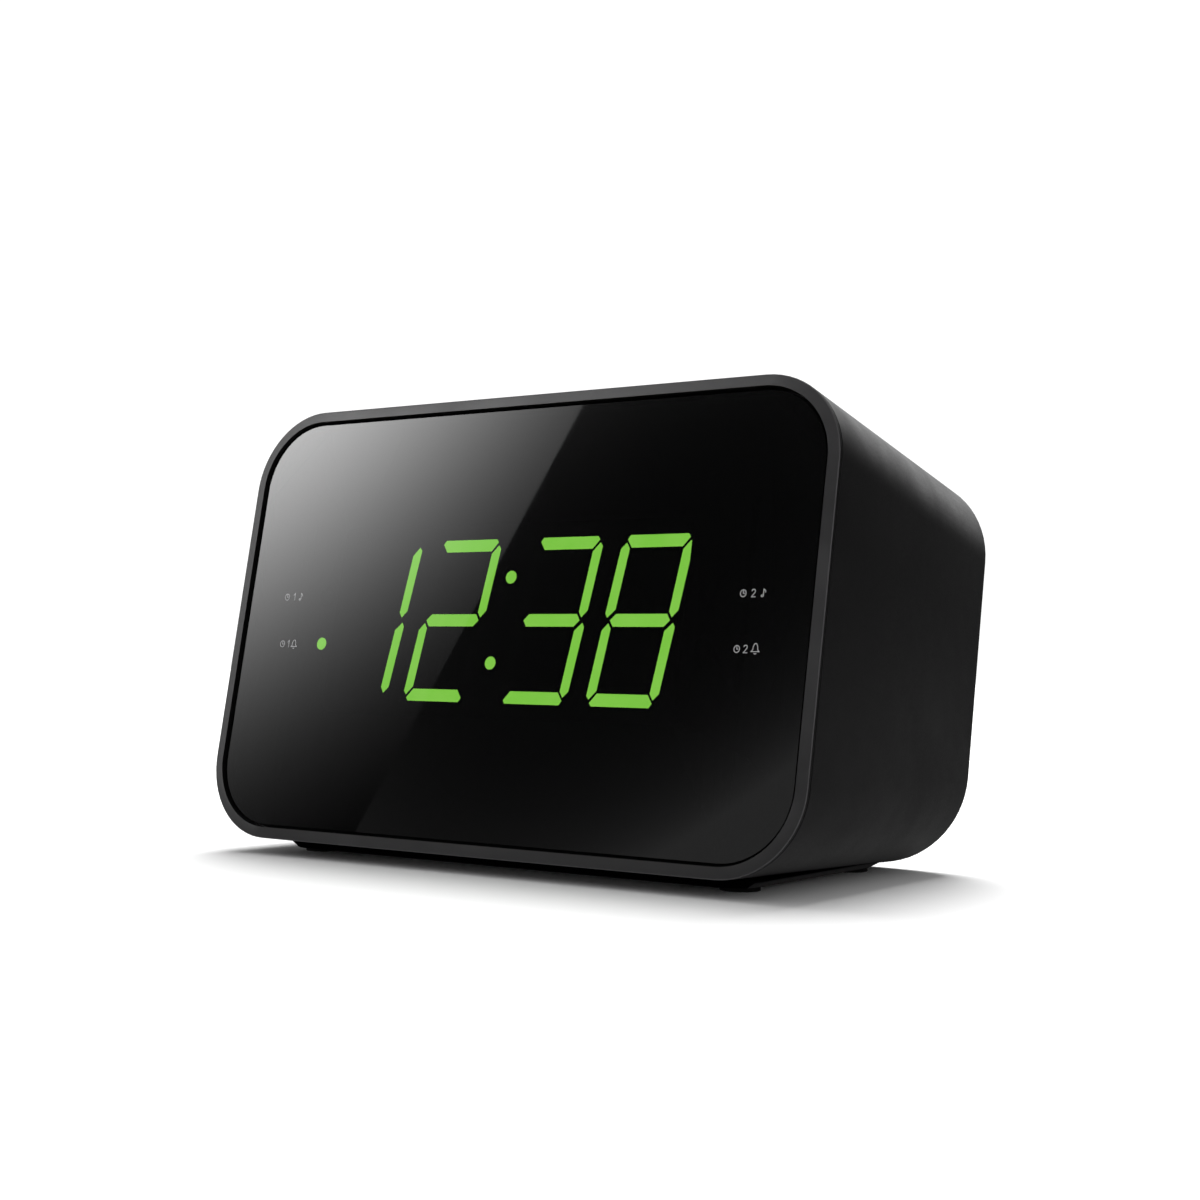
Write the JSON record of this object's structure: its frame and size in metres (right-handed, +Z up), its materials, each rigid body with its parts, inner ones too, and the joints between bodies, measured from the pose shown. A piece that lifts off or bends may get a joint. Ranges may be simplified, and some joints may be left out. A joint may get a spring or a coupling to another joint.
{
  "type": "clock radio",
  "caption": "Leaning rounded clock radio with a ring-framed dark lens, green seven-segment time display, top keys, rear speaker and a backup battery bay underneath.",
  "frame": {"origin": "on the table plane, under the centre of the overall bounding box", "axes": "+X to the right as seen from the front, +Y to the rear, +Z up; the display faces -Y"},
  "size_m": [0.152, 0.0906, 0.1005],
  "materials": {
    "ring_grey": "satin, fine grain",
    "smoked_lens": "polished, smoked",
    "mask_film": "matt printed film",
    "body_black": "fine matt grain",
    "base_black": "fine matt grain",
    "foot_rubber": "matt",
    "reflector_grey": "matt",
    "segment_green": "lit from behind",
    "segment_dark": "diffusing, unlit",
    "led_clear": "clear resin",
    "board_green": "solder mask",
    "key_black": "satin",
    "switch_black": "moulded",
    "plunger_red": "moulded",
    "speaker_cloth": "woven",
    "zinc_steel": "zinc plated",
    "ferrite": "sintered",
    "copper_wire": "enamelled winding",
    "cone_paper": "pressed paper",
    "foam_surround": "foam",
    "spider_cloth": "resin-dipped cloth",
    "tin_plate": "tinned",
    "capacitor_sleeve": "shrink sleeve",
    "nylon_white": "moulded",
    "nickel": "nickel plated",
    "lead_grey": "soft plastic",
    "screw_black": "black oxide"
  },
  "bodies": {
    "case": {"front_bezel": "ring_grey", "display_lens": "smoked_lens", "lens_mask": "mask_film", "main_housing": "body_black", "rear_cover": "body_black", "speaker_grille": "body_black", "base_plate": "base_black", "rubber_feet": "foot_rubber", "display_reflector": "reflector_grey", "lit_segments": "segment_green", "unlit_segments": "segment_dark", "colon_and_dots": "segment_green", "display_leds": "led_clear", "display_pcb": "board_green", "tact_switches": "switch_black", "key_pcb": "board_green", "speaker_cloth": "speaker_cloth", "speaker_basket": "zinc_steel", "speaker_magnet": "ferrite", "speaker_yoke": "zinc_steel", "speaker_top_plate": "zinc_steel", "speaker_surround": "foam_surround", "speaker_spider": "spider_cloth", "main_pcb": "board_green", "tuner_shield": "tin_plate", "pcb_chips": "switch_black", "pcb_capacitors": "capacitor_sleeve", "lead_connectors": "nylon_white", "dc_jack": "switch_black", "dc_jack_pin": "nickel", "antenna_grommet": "foot_rubber", "battery_contacts": "nickel", "battery_springs": "nickel", "internal_leads": "lead_grey", "case_screws": "screw_black", "base_screws": "screw_black", "pcb_screws": "zinc_steel", "speaker_screws": "zinc_steel"},
    "snooze": {"snooze_bar": "key_black", "snooze_plunger": "plunger_red"},
    "alarm_1": {"alarm_1_key": "key_black", "alarm_1_plunger": "plunger_red"},
    "alarm_2": {"alarm_2_key": "key_black", "alarm_2_plunger": "plunger_red"},
    "set": {"set_key": "key_black", "set_plunger": "plunger_red"},
    "power": {"power_key": "key_black", "power_plunger": "plunger_red"},
    "volume_down": {"volume_down_key": "key_black", "volume_down_plunger": "plunger_red"},
    "volume_up": {"volume_up_key": "key_black", "volume_up_plunger": "plunger_red"},
    "tune_down": {"tune_down_key": "key_black", "tune_down_plunger": "plunger_red"},
    "tune_up": {"tune_up_key": "key_black", "tune_up_plunger": "plunger_red"},
    "battery_door": {"battery_door": "base_black"},
    "cone": {"speaker_cone": "cone_paper", "dust_cap": "cone_paper", "voice_coil": "copper_wire"}
  },
  "joints": [
    {"name": "snooze_press", "type": "slide", "parent": "case", "child": "snooze", "axis": [0, -0.1736, -0.9848], "range_m": [0, 0.0006], "stiffness_N_per_m": 2500},
    {"name": "alarm_1_press", "type": "slide", "parent": "case", "child": "alarm_1", "axis": [0, -0.1736, -0.9848], "range_m": [0, 0.0006], "stiffness_N_per_m": 2500},
    {"name": "alarm_2_press", "type": "slide", "parent": "case", "child": "alarm_2", "axis": [0, -0.1736, -0.9848], "range_m": [0, 0.0006], "stiffness_N_per_m": 2500},
    {"name": "set_press", "type": "slide", "parent": "case", "child": "set", "axis": [0, -0.1736, -0.9848], "range_m": [0, 0.0006], "stiffness_N_per_m": 2500},
    {"name": "power_press", "type": "slide", "parent": "case", "child": "power", "axis": [0, -0.1736, -0.9848], "range_m": [0, 0.0006], "stiffness_N_per_m": 2500},
    {"name": "volume_down_press", "type": "slide", "parent": "case", "child": "volume_down", "axis": [0, -0.1736, -0.9848], "range_m": [0, 0.0006], "stiffness_N_per_m": 2500},
    {"name": "volume_up_press", "type": "slide", "parent": "case", "child": "volume_up", "axis": [0, -0.1736, -0.9848], "range_m": [0, 0.0006], "stiffness_N_per_m": 2500},
    {"name": "tune_down_press", "type": "slide", "parent": "case", "child": "tune_down", "axis": [0, -0.1736, -0.9848], "range_m": [0, 0.0006], "stiffness_N_per_m": 2500},
    {"name": "tune_up_press", "type": "slide", "parent": "case", "child": "tune_up", "axis": [0, -0.1736, -0.9848], "range_m": [0, 0.0006], "stiffness_N_per_m": 2500},
    {"name": "battery_door_hinge", "type": "hinge", "parent": "case", "child": "battery_door", "pos_m": [0, 0.0084, 0.0019], "axis": [1, 0, 0], "range_deg": [0, 85]},
    {"name": "cone_travel", "type": "slide", "parent": "case", "child": "cone", "axis": [0, 0.9848, -0.1736], "range_m": [-0.0008, 0.0008], "stiffness_N_per_m": 1500}
  ]
}
